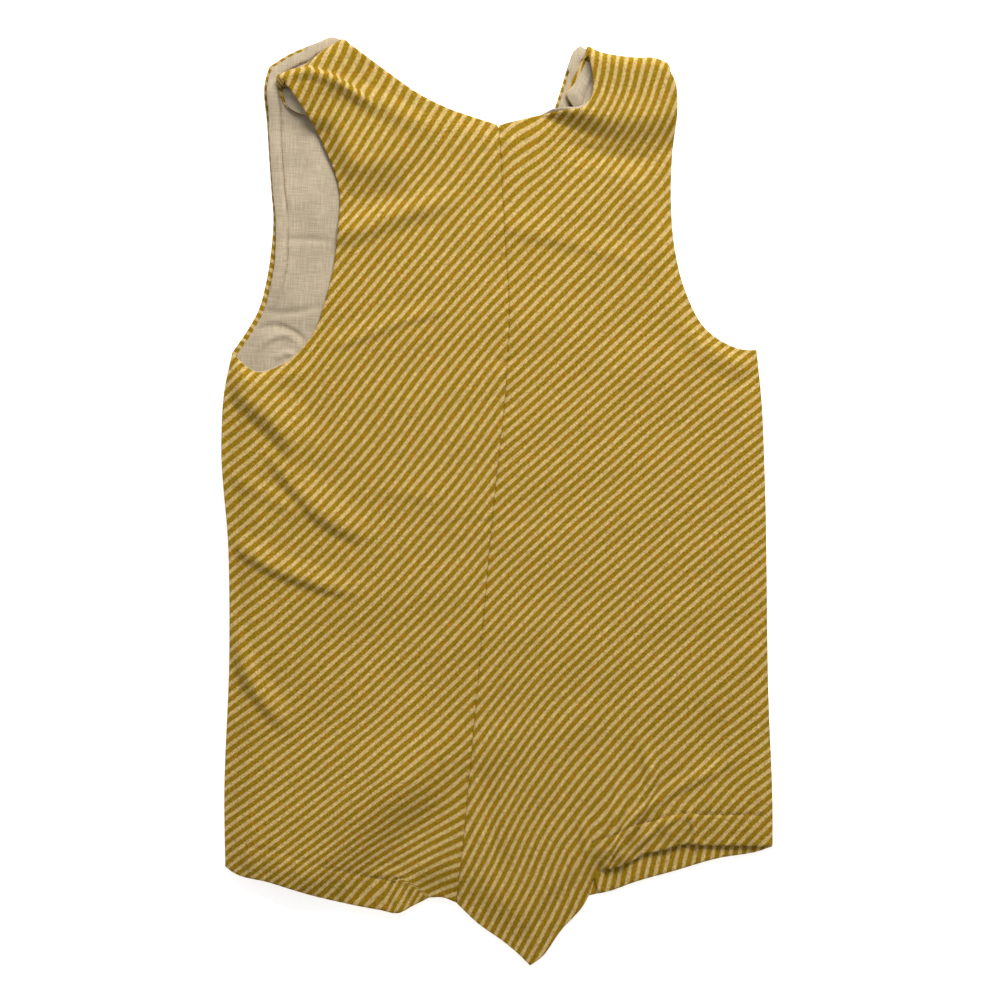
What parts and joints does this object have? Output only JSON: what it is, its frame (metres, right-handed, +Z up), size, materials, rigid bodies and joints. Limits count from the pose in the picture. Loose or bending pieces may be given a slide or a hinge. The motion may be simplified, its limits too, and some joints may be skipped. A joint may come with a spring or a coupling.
{
  "type": "baby romper",
  "caption": "Sleeveless baby romper in a fine diagonal stripe with a natural lining, laid flat with its back up and its shoulder straps turned over.",
  "frame": {"origin": "centre of the garment's outline, on the surface that it lies on", "axes": "+Y towards the neck, +Z up through the back, +X to the right seen from above"},
  "size_m": [0.276, 0.4648, 0.0135],
  "materials": {
    "striped_cloth": "woven mustard and cream stripe",
    "lining_cloth": "plain weave, undyed",
    "stud_metal": "satin"
  },
  "bodies": {
    "root": {"front": "striped_cloth", "front_lining": "lining_cloth", "front_hem_left": "striped_cloth", "front_hem_right": "striped_cloth", "back_left": "striped_cloth", "back_right": "striped_cloth", "back_hem_left": "striped_cloth", "back_hem_right": "striped_cloth", "strap_lining_left": "lining_cloth", "strap_lining_right": "lining_cloth", "stud_left": "stud_metal", "stud_right": "stud_metal"}
  },
  "joints": []
}
